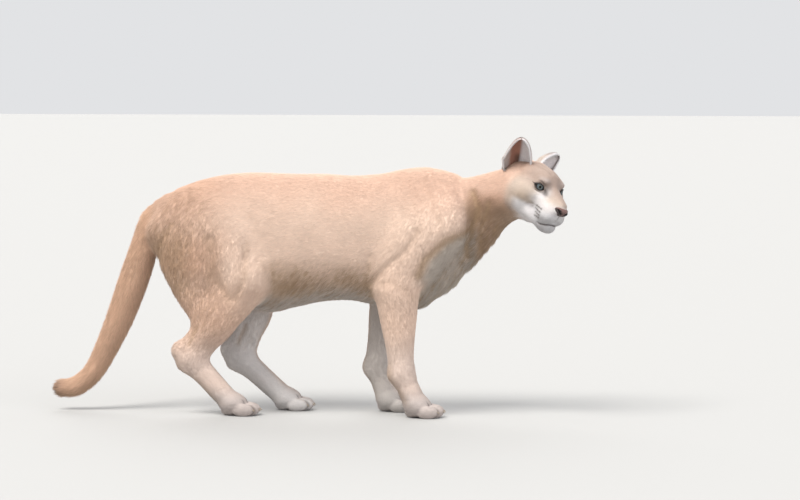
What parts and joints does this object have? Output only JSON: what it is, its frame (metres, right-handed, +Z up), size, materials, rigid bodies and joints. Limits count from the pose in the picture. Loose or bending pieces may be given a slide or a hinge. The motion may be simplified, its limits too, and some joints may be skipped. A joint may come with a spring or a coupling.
{
  "type": "standing cougar",
  "caption": "Life-size cougar standing on four paws, head turned to its right, tail hanging in a curve.",
  "frame": {"origin": "on the floor, under the middle of the animal's box", "axes": "+X forward, +Y to the animal's left, +Z up"},
  "size_m": [1.4647, 0.2927, 0.7822],
  "materials": {
    "coat": "short tawny fur",
    "pale_coat": "short cream fur",
    "tail_coat": "dense brown fur",
    "nose_skin": "satin bare skin",
    "eye": "wet gloss"
  },
  "bodies": {
    "root": {"neck": "coat", "torso": "coat", "head": "coat", "ear_right": "coat", "ear_left": "coat", "forearm_right": "coat", "upper_arm_right": "coat", "shank_right": "coat", "thigh_right": "coat", "forearm_left": "coat", "upper_arm_left": "coat", "shank_left": "coat", "thigh_left": "coat", "lower_jaw": "pale_coat", "front_paw_right": "pale_coat", "front_paw_left": "pale_coat", "hind_paw_right": "pale_coat", "hind_paw_left": "pale_coat", "hind_cannon_right": "pale_coat", "hind_cannon_left": "pale_coat", "tail_tip": "tail_coat", "tail_middle": "tail_coat", "tail_base": "tail_coat", "nose": "nose_skin", "eye_left": "eye", "eye_right": "eye"}
  },
  "joints": []
}
